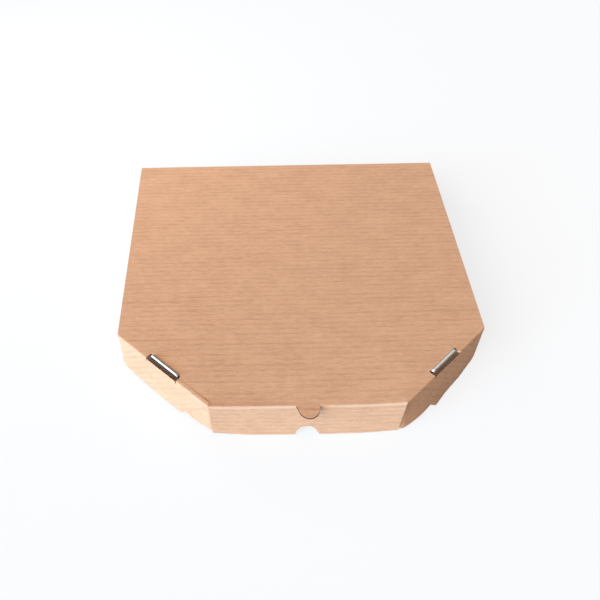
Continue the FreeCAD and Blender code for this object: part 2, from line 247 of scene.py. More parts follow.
def spans(polygon, y):
    """Where each level crosses a convex outline: its first and last point along the flutes."""
    a = np.asarray(polygon, float)
    b = np.roll(a, -1, axis=0)
    sloping = np.abs(b[:, 1] - a[:, 1]) > 1e-9
    a, b = a[sloping], b[sloping]
    share = (y[:, None] - a[None, :, 1]) / (b[:, 1] - a[:, 1])[None, :]
    x = a[None, :, 0] + share * (b[:, 0] - a[:, 0])[None, :]
    crosses = (share > -1e-6) & (share < 1 + 1e-6)
    return np.where(crosses, x, np.inf).min(axis=1), np.where(crosses, x, -np.inf).max(axis=1)


def other_side(patch):
    """A flat patch mirrored in x = 0."""
    points, quads = patch
    return points * np.array([-1.0, 1.0]), quads[:, ::-1]


def handed(patch, hand):
    """A patch that runs outwards from the middle, with its quads turned on the left."""
    points, quads = patch
    return points, quads if hand > 0 else quads[:, ::-1]


def outline_patch(board, polygon, columns, special=()):
    """A patch that fills a convex outline."""
    heights = np.asarray(polygon)[:, 1]
    low, high = heights.min() + HAIR, heights.max() - HAIR
    inner = [h for h in heights if low < h < high]
    y = levels_between(board, low, high, (*inner, *special))
    start, end = spans(polygon, y)
    return rows(y, start, end, columns)


def joined(*patches):
    """Several patches as one, with the points that they share merged."""
    offsets = np.cumsum([0] + [len(points) for points, _ in patches])
    points = np.concatenate([points for points, _ in patches])
    quads = np.concatenate([quads + offset for (_, quads), offset in zip(patches, offsets)])
    _, first, merged = np.unique(np.round(points / MM, 3), axis=0, return_index=True,
                                 return_inverse=True)
    return points[first], merged.reshape(-1)[quads]


def rim(quads):
    """The directed edges that only one quad has: the patch's border and its holes."""
    edges = np.stack([quads, np.roll(quads, -1, axis=1)], axis=-1).reshape(-1, 2)
    size = quads.max() + 1
    forward = edges[:, 0] * size + edges[:, 1]
    backward = edges[:, 1] * size + edges[:, 0]
    return edges[~np.isin(forward, backward)]


def board_layers(board, across):
    """Upper and lower face of each layer, as depths below the outer face. The middle layer is a
    cosine across the flutes between the liners, and each liner sinks a little where that wave
    is far from it."""
    wave = np.cos(2 * math.pi * across / board.pitch)
    outer = -board.relief * (1 - wave) / 2
    inner = -board.thickness + board.relief * (1 + wave) / 2
    swing = board.thickness / 2 - board.liner - board.middle / 2
    centre = -board.thickness / 2 + swing * wave
    return [
        (outer, outer - board.liner, "outer"),
        (centre + board.middle / 2, centre - board.middle / 2, "middle"),
        (inner + board.liner, inner, "inner"),
    ]


def thicken(region, layers, place, cut=False):
    """Closed layers over a patch: each has its two faces, and walls round its border, which
    take the very dark cut paper where cut is set: partly the crushed fibres' own colour, partly
    painted shade of the open flutes and the gaps beside these edges. place carries (x, y, depth)
    of the flat sheet to the box."""
    points, quads = region
    border = rim(quads)
    count = len(points)
    out_points, out_quads, out_flat, out_slot = [], [], [], []
    total = 0
    for upper, lower, slot in layers:
        upper = np.broadcast_to(upper, (count,))
        lower = np.broadcast_to(lower, (count,))
        flat = np.concatenate([np.column_stack([points, upper]),
                               np.column_stack([points, lower])])
        solid = place(flat[:, 0], flat[:, 1], flat[:, 2])
        a, b = border[:, 0], border[:, 1]
        walls = np.stack([a, a + count, b + count, b], axis=-1)
        faces = np.concatenate([quads, quads[:, ::-1] + count, walls])
        if volume(solid, faces) < 0:
            faces = faces[:, ::-1]
        out_points.append(solid)
        out_quads.append(faces + total)
        out_flat.append(flat)
        papers = np.full(len(faces), SLOTS.index(slot))
        if cut:
            papers[2 * len(quads):] = SLOTS.index("cut")
        out_slot.append(papers)
        total += 2 * count
    return [np.concatenate(part) for part in (out_points, out_quads, out_flat, out_slot)]


def whole_board(board, region, place):
    """A patch of board with all its three layers."""
    return thicken(region, board_layers(board, region[0][:, 1]), place)


def volume(points, faces):
    """Six times the volume inside a closed mesh: below zero where its faces point inwards."""
    a, b, c, d = (points[faces[:, i]] for i in range(4))
    return np.sum(np.einsum("ij,ij->i", a, np.cross(b, c)) +
                  np.einsum("ij,ij->i", a, np.cross(c, d)))


def make_piece(name, body, parts, replaced=()):
    """One mesh object of several thickened patches, which rides on a body of the frame."""
    total = 0
    points, quads, flat, slots = [], [], [], []
    for part in parts:
        points.append(part[0])
        quads.append(part[1] + total)
        flat.append(part[2])
        slots.append(part[3])
        total += len(part[0])
    points, quads, flat, slots = (np.concatenate(p) for p in (points, quads, flat, slots))
    mesh = bpy.data.meshes.new(name)
    mesh.vertices.add(len(points))
    mesh.vertices.foreach_set("co", points.astype(np.float32).ravel())
    mesh.loops.add(quads.size)
    mesh.loops.foreach_set("vertex_index", quads.astype(np.int32).ravel())
    mesh.polygons.add(len(quads))
    mesh.polygons.foreach_set("loop_start", np.arange(0, quads.size, 4, dtype=np.int32))
    mesh.polygons.foreach_set("material_index", slots.astype(np.int32))
    mesh.polygons.foreach_set("use_smooth", np.ones(len(quads), bool))
    mesh.update(calc_edges=True)
    if mesh.validate():
        raise RuntimeError("%s has faces that collapse" % name)
    mesh.set_sharp_from_angle(angle=SHARP)
    sheet = mesh.attributes.new("sheet", "FLOAT_VECTOR", "POINT")
    sheet.data.foreach_set("vector", flat.astype(np.float32).ravel())
    for slot in SLOTS:
        mesh.materials.append(bpy.data.materials[MATERIAL_NAMES[slot]])
    piece = bpy.data.objects.new(name, mesh)
    bpy.context.scene.collection.objects.link(piece)
    if replaced:
        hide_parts(*replaced)
    if body:
        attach(piece, body)
    return piece


# Folds.

def fold(edge, inward, outer, turn, radius, across, depth):
    """Sheet that runs over a fold. edge is the line where the two outer faces would meet, inward
    points from it over the first face, outer is the first face's normal and turn the angle that
    the sheet turns by. across is the distance from the edge along the faces, below zero on the
    first one. Round the edge the sheet follows an arc of the radius, and is crushed a little."""
    turn = np.broadcast_to(turn, across.shape)
    radius = np.broadcast_to(radius, across.shape)
    tangent = radius * np.tan(turn / 2)
    beyond = np.sign(across) * np.maximum(np.abs(across) - tangent, 0)
    share = np.clip(across / tangent, -1, 1)
    angle = (share + 1) / 2 * turn
    crush = 1 - 0.14 * np.cos(share * math.pi / 2)
    cos, sin = np.cos(angle)[:, None], np.sin(angle)[:, None]
    normal = cos * outer - sin * inward
    along = -cos * inward - sin * outer
    centre = edge + inward * tangent[:, None] - outer * radius[:, None]
    return centre + (radius + depth * crush)[:, None] * normal + beyond[:, None] * along


def crease(board, radius, edge, inward, outer, turn, across, depth):
    """Sheet that runs over a pressed crease of the lid. The outer face goes round a small arc
    and the inner face round a tighter one inside it; between them each cross-section is
    straight, so the board fans out round its inner corner. Beyond the fold's reach the two
    flat panels go on."""
    turn = np.broadcast_to(turn, across.shape)
    share = -depth / board.thickness
    outside = fold(edge, inward, outer, turn, radius, across, np.zeros_like(depth))
    back = board.thickness * np.tan(turn / 2)
    corner = edge + inward * back[:, None] - outer * board.thickness
    left = np.where(np.abs(across) > board.fold_reach, np.abs(across) - back,
                    np.abs(across) * (1 - back / board.fold_reach))
    inside = fold(corner, inward, outer, turn, 0.2 * MM, np.sign(across) * left,
                  np.zeros_like(depth))
    return outside * (1 - share)[:, None] + inside * share[:, None]


def left_part(x):
    """1 on the left of the front, 0 on the right, with a smooth change beside the thumb tab."""
    return 0.5 - 0.5 * np.tanh((x / MM + 8) / 8)


def lid_sink(board, x, y):
    """How far the lid's top lies below its edges: it sinks towards its middle as a product of two
    even curves. Its front edge sags a little, and behind that edge it is pressed down by a
    shallow wavy valley, which is deepest at the left and ends near the thumb tab."""
    wide = (1 - (x / HALF_WIDTH) ** 2) * (1 - (y / BACK) ** 2)
    behind = np.clip(y - FRONT, 0, None) / MM
    valley = (1 - np.exp(-(behind / 3.2) ** 2)) * np.exp(-behind / 14)
    wavy = 1 + 0.25 * np.sin(x / (7 * MM)) + 0.15 * np.sin(x / (3.1 * MM) + 1)
    sag = np.clip(1 - (x / (74 * MM)) ** 4, 0, 1) * (1.7 - 0.2 * left_part(x))
    sag *= np.exp(-behind / 40)
    return -np.maximum(board.puff * wide, 0) - MM * (
        sag + valley * (0.1 + 0.66 * left_part(x) * wavy))


class Corner:
    """The right-hand cut-off corner's fold: its middle, the direction to the side, the outward
    direction, and its length."""

    def __init__(self, box):
        self.length = math.hypot(box.corner_front, box.corner_side)
        self.middle = np.array([HALF_WIDTH - box.corner_front / 2, FRONT + box.corner_side / 2])
        self.along = np.array([box.corner_front, box.corner_side]) / self.length
        self.out = np.array([box.corner_side, -box.corner_front]) / self.length

    def flat(self, s, q):
        """The point s along the fold from its middle and q outwards from it."""
        s, q = np.asarray(s, float), np.asarray(q, float)
        return self.middle + s[..., None] * self.along + q[..., None] * self.out

    def at_x(self, inset, x):
        """The point at an inset inside the fold that has a given x."""
        s = (x - self.middle[0] + inset * self.out[0]) / self.along[0]
        return self.flat(s, -inset)

    def at_y(self, inset, y):
        """The point at an inset inside the fold that has a given y."""
        s = (y - self.middle[1] + inset * self.out[1]) / self.along[1]
        return self.flat(s, -inset)

    def own(self, x, y):
        """A flat point as its distance along the fold and outwards from it."""
        dx, dy = x - self.middle[0], y - self.middle[1]
        return dx * self.along[0] + dy * self.along[1], dx * self.out[0] + dy * self.out[1]


def upright(plan, height):
    """Plan points with their heights."""
    return np.column_stack([plan, height])


def level(vector):
    """A plan direction in space."""
    return np.array([vector[0], vector[1], 0.0])


def mirrored(part):
    """A thickened patch on the other side of x = 0, its faces turned to point outwards."""
    points, quads, flat, slots = part
    flip = np.array([-1.0, 1.0, 1.0])
    return [points * flip, quads[:, ::-1], flat * flip, slots]


# Materials.

# The worn paper's pale band along the front fold is partly rubbed fibres and partly a painted
# highlight.
SLOTS = ("outer", "middle", "inner", "worn", "cut")
# The cut paper is partly the dark fibres of a cut edge and partly painted shade.
MATERIAL_NAMES = {"outer": "brown_liner", "middle": "wavy_layer", "inner": "pale_liner",
                  "worn": "brown_liner_worn_highlight", "cut": "cut_edge_and_shade"}


def add_node(tree, kind, **settings):
    """A node with its settings; a socket's value is given by its name in capitals."""
    node = tree.nodes.new(kind)
    for key, value in settings.items():
        if key in node.inputs:
            node.inputs[key].default_value = value
        else:
            setattr(node, key, value)
    return node


def noise(tree, vector, scale, detail, roughness=0.55):
    """A cloud pattern of that many clouds to the metre."""
    node = add_node(tree, "ShaderNodeTexNoise", Scale=scale, Detail=detail, Roughness=roughness)
    tree.links.new(vector, node.inputs["Vector"])
    return node.outputs["Fac"]


def stretched(tree, vector, along, across):
    """The pattern's coordinates, scaled along and across the flutes."""
    node = add_node(tree, "ShaderNodeMapping", Scale=(along, across, 1.0))
    tree.links.new(vector, node.inputs["Vector"])
    return node.outputs["Vector"]


def maths(tree, operation, *values):
    """The result of one sum; a value is a number or another node's output."""
    node = add_node(tree, "ShaderNodeMath", operation=operation)
    for socket, value in zip(node.inputs, values):
        if isinstance(value, (int, float)):
            socket.default_value = value
        else:
            tree.links.new(value, socket)
    return node.outputs[0]


def paper(name, light, dark, contrast, flute_tone, board, worn=None):
    """Paper of brown or pale fibres, laid on the flat sheet: clouds, short streaks along the
    flutes, fine grain, and over each flute a thin darker line that comes and goes. worn is the
    paler colour along a fold at y = 0: partly fibres that the fold has stretched and rubbed,
    partly a painted highlight on the fold's rounded edge."""
    material = bpy.data.materials.new(name)
    material.use_nodes = True
    tree = material.node_tree
    tree.nodes.clear()
    sheet = add_node(tree, "ShaderNodeAttribute", attribute_name="sheet").outputs["Vector"]
    clouds = noise(tree, stretched(tree, sheet, 0.5, 1.0), 60.0, 4.0, 0.6)
    streaks = noise(tree, stretched(tree, sheet, 0.16, 1.0), 800.0, 3.0, 0.7)
    grain = noise(tree, stretched(tree, sheet, 0.55, 1.0), 1500.0, 3.0, 0.7)
    split = add_node(tree, "ShaderNodeSeparateXYZ")
    tree.links.new(sheet, split.inputs[0])
    turn = maths(tree, "MULTIPLY", split.outputs["Y"], 2 * math.pi / board.pitch)
    line = maths(tree, "POWER", maths(tree, "MULTIPLY_ADD", maths(tree, "COSINE", turn),
                                      0.5, 0.5), 3.0)
    patchy = noise(tree, stretched(tree, sheet, 0.25, 1.0), 150.0, 2.0, 0.5)
    patchy = maths(tree, "MULTIPLY_ADD", patchy, 3.0, -1.0)
    mixed = maths(tree, "MULTIPLY", maths(tree, "MULTIPLY", line, patchy), flute_tone)
    for pattern, weight in ((clouds, 1.1), (streaks, 2.4), (grain, 2.6)):
        mixed = maths(tree, "MULTIPLY_ADD", maths(tree, "SUBTRACT", pattern, 0.5), weight, mixed)
    share = maths(tree, "MULTIPLY_ADD", mixed, contrast, 0.3)
    mix = add_node(tree, "ShaderNodeMix", data_type="RGBA", clamp_factor=True)
    tree.links.new(share, mix.inputs[0])
    mix.inputs[6].default_value = (*light, 1.0)
    mix.inputs[7].default_value = (*dark, 1.0)
    colour = mix.outputs[2]
    if worn:
        # A paler band just past the fold's line: partly rubbed fibres, partly a painted highlight.
        along = maths(tree, "MULTIPLY_ADD", split.outputs["Y"], 1 / (1.4 * MM), 1.1)
        away = maths(tree, "MULTIPLY", maths(tree, "POWER", along, 2.0), -1.0)
        rubbed_highlight = maths(tree, "MULTIPLY", maths(tree, "EXPONENT", away), 0.6)
        blend = add_node(tree, "ShaderNodeMix", data_type="RGBA", clamp_factor=True)
        tree.links.new(rubbed_highlight, blend.inputs[0])
        tree.links.new(colour, blend.inputs[6])
        blend.inputs[7].default_value = (*worn, 1.0)
        colour = blend.outputs[2]
    height = maths(tree, "MULTIPLY_ADD", streaks, 0.6, grain)
    bump = add_node(tree, "ShaderNodeBump", Strength=0.35, Distance=0.12 * MM)
    tree.links.new(height, bump.inputs["Height"])
    shader = add_node(tree, "ShaderNodeBsdfPrincipled", Roughness=0.86)
    shader.inputs["Specular IOR Level"].default_value = 0.28
    tree.links.new(colour, shader.inputs["Base Color"])
    tree.links.new(bump.outputs["Normal"], shader.inputs["Normal"])
    out = add_node(tree, "ShaderNodeOutputMaterial")
    tree.links.new(shader.outputs[0], out.inputs["Surface"])
    return material


class PIZZABOX_OT_papers(bpy.types.Operator):
    """Make the board's papers"""

    bl_idname = "pizzabox.papers"
    bl_label = "Papers"

    def execute(self, context):
        finish = context.scene.pizza_box_finish
        board = context.scene.pizza_box_board
        paper("brown_liner", finish.kraft, finish.kraft_dark, 1.0, 0.55, board)
        # Paper of the front fold: its paler band is partly rubbed fibres, partly a painted highlight.
        paper("brown_liner_worn_highlight", finish.kraft, finish.kraft_dark, 1.0, 0.55, board, worn=finish.worn)
        paper("wavy_layer", finish.middle, finish.middle_dark, 1.0, 0.0, board)
        paper("pale_liner", finish.liner, finish.liner_dark, 0.8, 0.5, board)
        # Cut paper: partly crushed fibres, partly painted shade.
        paper("cut_edge_and_shade", finish.cut, finish.cut_and_shade_dark, 1.0, 0.0, board)
        return {"FINISHED"}


# The lid.

class PIZZABOX_OT_lid(bpy.types.Operator):
    """Build the lid's panel, with its slots and its thumb tab"""

    bl_idname = "pizzabox.lid"
    bl_label = "Lid"

    def execute(self, context):
        board = context.scene.pizza_box_board
        box = context.scene.pizza_box
        corner = Corner(box)
        reach = board.fold_reach
        low, high = FRONT + reach, BACK - reach
        slot = box.slot_depth
        inset_side = corner.at_x(slot, HALF_WIDTH)
        inset_front = corner.at_y(slot, low)
        reach_side = corner.at_x(reach, HALF_WIDTH)
        reach_front = corner.at_y(reach, low)
        slot_back = corner.flat([-box.slot_half, box.slot_half], [-slot, -slot])
        slot_mouth = corner.flat([-box.slot_half, box.slot_half], [-reach, -reach])
        special = [p[1] for p in (inset_side, reach_side, *slot_back, *slot_mouth)]

        def place(x, y, depth):
            return np.column_stack([x, y, TOP + lid_sink(board, x, y) + depth])

        y = levels_between(board, low, high, special)
        edge = np.interp(y, [low, inset_side[1], high],
                         [inset_front[0], inset_side[0], HALF_WIDTH])
        patches = [rows(y, -edge, edge, 27)]
        side_strip = [slot_mouth[1], reach_side, inset_side, slot_back[1]]
        front_strip = [inset_front, reach_front, slot_mouth[0], slot_back[0]]
        for outline, pointed in ((side_strip, True), (front_strip, False)):
            heights = [p[1] for p in outline]
            y = levels_between(board, min(heights), max(heights), special)
            y[-1] = max(heights) - HAIR
            if pointed:
                y[0] = min(heights) + HAIR
            start, end = spans(outline, y)
            strip = rows(y, start, end, 6)
            patches += [strip, other_side(strip)]
        region = joined(*patches)
        parts = [whole_board(board, region, place)]

        step = 0.5 * MM
        tip = THUMB_END + HAIR
        y = np.unique(np.concatenate([
            levels_between(board, tip, low),
            tip + (FRONT - tip) * (1 - np.cos(np.linspace(0, math.pi / 2, 12)))]))
        half = oval(FRONT - y, box.thumb_half, FRONT - THUMB_END)
        shift = box.thumb_shift * np.clip((FRONT - y) / (2 * MM), 0, 1)
        thumb = rows(y, shift - half, shift + half, int(2 * box.thumb_half / step))

        def place_thumb(x, y, depth):
            end = np.clip(1 - (y - THUMB_END) / (4 * MM), 0, 1)
            jag = 0.2 * MM * end * (np.sin(x / MM * 2.9) + 0.6 * np.sin(x / MM * 7.3 + 1))
            bend = np.clip((FRONT - 1.6 * MM - y) / (2 * MM), 0, 1)
            turned = bend ** 2 * (3 - 2 * bend)
            sunk = lid_sink(board, x, np.maximum(y, FRONT)) * (1 - 0.2 * turned)
            return np.column_stack([x, y + np.abs(jag), TOP + sunk + depth])

        pressed = 1 - 0.35 * np.clip(1 - (thumb[0][:, 1] - THUMB_END) / (8 * MM), 0, 1)
        layers = [(upper * pressed, lower * pressed, slot)
                  for upper, lower, slot in crushed(board)]
        # The thumb tab's edges are near black: partly crushed fibres, partly painted shade of the gap
        # round the tab.
        parts.append(thicken(thumb, layers, place_thumb, cut=True))
        make_piece("lid_panel", "lid", parts, ("lid",))
        return {"FINISHED"}


def oval(out, half, length):
    """Half width of a half oval at a distance out from its straight side."""
    return half * np.sqrt(np.clip(1 - (np.maximum(out, 0) / length) ** 2, 0, 1))


# The front flap.

def front_lean(box, x):
    """The front flap stands out most at its middle: a parabola of the lean along x, which falls
    off more to the left."""
    half = HALF_WIDTH - box.corner_front
    return box.front_lean * (1 - np.where(x < 0, 0.75, 0.35) * (x / half) ** 2)


def line_along(x, y, z):
    """The points of a line along X at the places x."""
    return np.column_stack([x, np.full_like(x, y), np.full_like(x, z)])


def front_hang(board, box, x, q, depth):
    """The front flap's place: q down it from the fold's line, below zero on the lid's side."""
    edge = line_along(x, FRONT, TOP)
    turn = math.pi / 2 - front_lean(box, x)
    points = crease(board, board.crease_radius, edge, np.array([0.0, 1.0, 0.0]), UP, turn, q,
                    depth)
    kept = np.clip(1 - q / box.front_drop, 0, 1)
    points[:, 2] += lid_sink(board, x, FRONT + np.maximum(-q, 0)) * kept
    return points


class PIZZABOX_OT_front_flap(bpy.types.Operator):
    """Build the front flap and the fold that carries it"""

    bl_idname = "pizzabox.front_flap"
    bl_label = "Front flap"

    def execute(self, context):
        board = context.scene.pizza_box_board
        box = context.scene.pizza_box
        reach = board.fold_reach
        drop = box.front_drop
        gap = 0.3 * MM
        hole_low = FRONT - THUMB_END + gap
        hole_half = box.thumb_half + gap
        notch_top = drop - box.notch_height
        ends_q = [reach, 36.7 * MM, drop]
        ends_x = np.array([74.4, 72.8, 44.8]) * MM

        arc = 1 - np.cos(np.linspace(0, math.pi / 2, 9))
        special = [ends_q[1], hole_low, hole_low + HAIR, notch_top, notch_top - HAIR]
        special += list(hole_low * (1 - arc[:-2]))
        special += list(notch_top + box.notch_half * arc[1:])
        q = levels_between(board, reach, drop, special)
        thumb = oval(q, hole_half, hole_low) + 0.4 * MM * np.clip(1 - (q - reach) / reach, 0, 1)
        share = np.clip((q - notch_top) / box.notch_height, 0, 1)
        rise = np.clip(q - notch_top, 0, box.notch_half)
        notch = {1: box.notch_half * share ** 0.45,
                 -1: np.sqrt(box.notch_half ** 2 - (box.notch_half - rise) ** 2)}
        end = np.interp(q, ends_q, ends_x)
        middle = np.interp(q, [hole_low, notch_top], [box.thumb_shift, box.notch_shift])
        halves = []
        for hand in (1, -1):
            hole = np.where(q <= hole_low, thumb, np.where(q >= notch_top, notch[hand], 0))
            patch = rows(-q[::-1], (middle + hand * hole)[::-1], hand * end[::-1], 40)
            halves.append(handed(patch, hand))
        region = joined(*halves)

        def place(x, y, depth):
            return front_hang(board, box, x, -y, depth)

        layers = board_layers(board, region[0][:, 1] + FRONT)
        make_piece("front_flap_panel", "front_flap", [thicken(region, layers, place)],
                   ("front_flap",))

        q = np.linspace(-reach, reach, 25)
        slit = oval(q, hole_half, hole_low) + np.interp(
            q / MM, [0.4, 1.2, 2.2, 3.2], [-gap, 0.6 * MM, 1.0 * MM, 0.4 * MM])
        mitre = HALF_WIDTH - box.corner_front + np.interp(
            q, [-reach, 0, reach],
            [-reach * math.tan(math.atan2(box.corner_side, box.corner_front) / 2), -0.3 * MM,
             -1.0 * MM])
        shift = box.thumb_shift * np.clip(q / (2 * MM), 0, 1)
        folds = []
        for hand in (1, -1):
            strip = rows(-q[::-1], (shift + hand * slit)[::-1], hand * mitre[::-1], 60)
            # The front fold's outer face takes the worn paper, whose paler band is partly a painted
            # highlight.
            folds.append(thicken(handed(strip, hand), crushed(board, slot="worn"), place))
        make_fold("front_fold", folds)
        return {"FINISHED"}


def crushed(board, dent=0.0, slot="outer"):
    """A fold's two layers: brown outside and pale inside, with the middle layer crushed flat
    between them. dent is the depth of the outer face, zero or below, and slot its paper."""
    half = -0.5 * board.thickness
    return [(dent, half, slot), (half - HAIR, -board.thickness, "inner")]


def make_fold(name, parts):
    """A strip of board round a fold between two bodies: one mesh on neither body, with its transform
    baked into its points.
    """
    piece = make_piece(name, None, parts)
    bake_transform(piece)
    return piece


# The corner flaps.

def corner_lean(hand, s):
    """How far a corner flap stands out along its fold, in degrees: it is pressed out towards its
    front end, the right one more."""
    if hand > 0:
        places, angles = [-51, -13, 2, 24, 50], [11.5, 10.0, 7.0, 5.2, 0.5]
    else:
        places, angles = [-51, -22, 2, 24, 50], [1.0, 2.8, 3.3, 2.6, 0.5]
    return np.radians(np.interp(s, np.array(places) * MM, angles))


def corner_hang(board, box, hand, x, y, depth, flat_face=False):
    """A right-hand corner flap's place. With flat_face the sheet keeps to the flap's own plane
    right up to the fold's line, as it does in the slot."""
    corner = Corner(box)
    s, q = corner.own(x, y)
    foot = corner.flat(s, np.zeros_like(s))
    edge = upright(foot, np.full_like(s, TOP))
    lean = corner_lean(hand, s)
    out = level(corner.out)
    if flat_face:
        down = np.sin(lean)[:, None] * out - np.cos(lean)[:, None] * UP
        normal = np.cos(lean)[:, None] * out + np.sin(lean)[:, None] * UP
        return edge + q[:, None] * down + depth[:, None] * normal
    points = crease(board, board.crease_radius, edge, -out, UP, math.pi / 2 - lean, q, depth)
    points[:, 2] += np.where(q < 0, lid_sink(board, x, y), 0)
    return points


class PIZZABOX_OT_corner_flaps(bpy.types.Operator):
    """Build the two corner flaps and the folds beside their slots"""

    bl_idname = "pizzabox.corner_flaps"
    bl_label = "Corner flaps"

    def execute(self, context):
        board = context.scene.pizza_box_board
        box = context.scene.pizza_box
        corner = Corner(box)
        reach = board.fold_reach
        drop = box.corner_drop
        half = corner.length / 2
        end_gap = 1.2 * MM
        back_end = half - end_gap
        lip_top = 1.0 * MM
        lip_half = box.slot_half - 0.9 * MM
        bend = 5 * MM
        turns = np.linspace(0, math.pi / 2, 7)
        for hand, side, cut in ((1, "right", box.right_cut), (-1, "left", box.left_cut)):
            body = side + "_corner_flap"

            def place(x, y, depth, hand=hand):
                return corner_hang(board, box, hand, x, y, depth)

            def place_flat(x, y, depth, hand=hand):
                return corner_hang(board, box, hand, x, y, depth, flat_face=True)

            s = [-half + cut * reach / drop, -half + cut]
            q = [reach, drop]
            s += list(back_end - bend + bend * np.sin(turns))
            q += list(drop - bend + bend * np.cos(turns))
            s.append(back_end)
            q.append(reach)
            outline = corner.flat(s, q)
            lip = corner.flat([-lip_half, -lip_half, lip_half, lip_half],
                              [lip_top, reach, reach, lip_top])
            regions = [outline_patch(board, outline, 60), outline_patch(board, lip, 40)]
            parts = []
            for region in regions:
                layers = board_layers(board, region[0][:, 1])
                down = corner.own(region[0][:, 0], region[0][:, 1])[1]
                pressed = 0.6 if hand > 0 else 0.38
                worn = 1 - pressed * np.clip(1 - (down - lip_top) / (4 * MM), 0, 1) ** 2
                layers = [(upper * worn, lower * worn, slot) for upper, lower, slot in layers]
                # The lip's edges are near black: partly crushed fibres, partly painted shade of the
                # slot's gap.
                parts.append(thicken(region, layers, place_flat, cut=region is regions[1]))
            folds = []
            q = np.linspace(-reach, reach, 25)
            mitre = reach * math.tan(math.atan2(box.corner_side, box.corner_front) / 2)
            front_end = -half + np.interp(q, [-reach, 0, reach], [mitre, 0, cut * reach / drop])
            side_end = half + np.interp(
                q, [-reach, 0, reach],
                [reach * box.corner_side / box.corner_front, 0, -end_gap])
            slot_end = np.full_like(q, box.slot_half)
            for start, end in ((front_end, -slot_end), (slot_end, side_end)):
                own, quads = rows(q, start, end, 45)
                strip = (corner.flat(own[:, 0], own[:, 1]), quads)
                dent = 0.12 * MM * np.cos(2 * math.pi * strip[0][:, 1] / board.pitch)
                ease = np.cos(np.clip(own[:, 1] / reach, -1, 1) * math.pi / 2) ** 2
                layers = crushed(board, -np.abs(dent) * ease)
                folds.append(thicken(strip, layers, place))
            if hand < 0:
                parts = [mirrored(part) for part in parts]
                folds = [mirrored(part) for part in folds]
            make_piece(body + "_panel", body, parts, (body,))
            flip = np.array([hand, 1, 1])
            middle = np.array([*corner.middle, TOP])
            out = level(corner.out)
            start = (middle - 0.7 * MM * out) * flip
            end = (middle + 0.17 * MM * out - 0.8 * MM * UP) * flip
            make_fold(side + "_corner_fold", folds)
        return {"FINISHED"}


# The tray.

def tray_fold(board, edge, inward, q, depth):
    """A wall that rises from the base: q up it from the base's edge, below zero on the base."""
    return fold(edge, inward, -UP, math.pi / 2, board.fold_radius, q, depth)


def plan_turn(board, edge, inward, outer, turn, across, height, depth):
    """An ear that runs on from a wall round an upright fold, at a height."""
    places = np.broadcast_to(np.array([*edge, 0.0]), (len(across), 3))
    points = fold(places, level(inward), level(outer), turn, board.fold_radius, across, depth)
    points[:, 2] = height
    return points


def hole_edge(box, radius, across, end):
    """Half width of the finger hole's part that ends, with rounded corners, at a given level."""
    into = np.clip(across - end + radius, 0, radius)
    return np.where(across <= end + 1e-9,
                    box.hole_half - radius + np.sqrt(radius ** 2 - into ** 2), 0)


def ear_flare(hand, s, height, wall_top):
    """How far an outer ear's foot stands out: nothing at the top, where its tab is hooked in the
    lid, and growing evenly downwards. hand is 1 on the right."""
    places = [-51, -45, -38, -32, -26, -18, -10, 2, 24]
    if hand > 0:
        reach = [4.0, 5.4, 6.4, 7.0, 7.2, 6.9, 5.8, 4.2, 0.5]
    else:
        reach = [0.6, 1.6, 2.4, 2.8, 2.6, 1.9, 1.7, 1.6, 0.3]
    foot = np.interp(s, np.array(places) * MM, np.array(reach) * MM)
    return foot * np.clip(1 - height / wall_top, 0, 1)


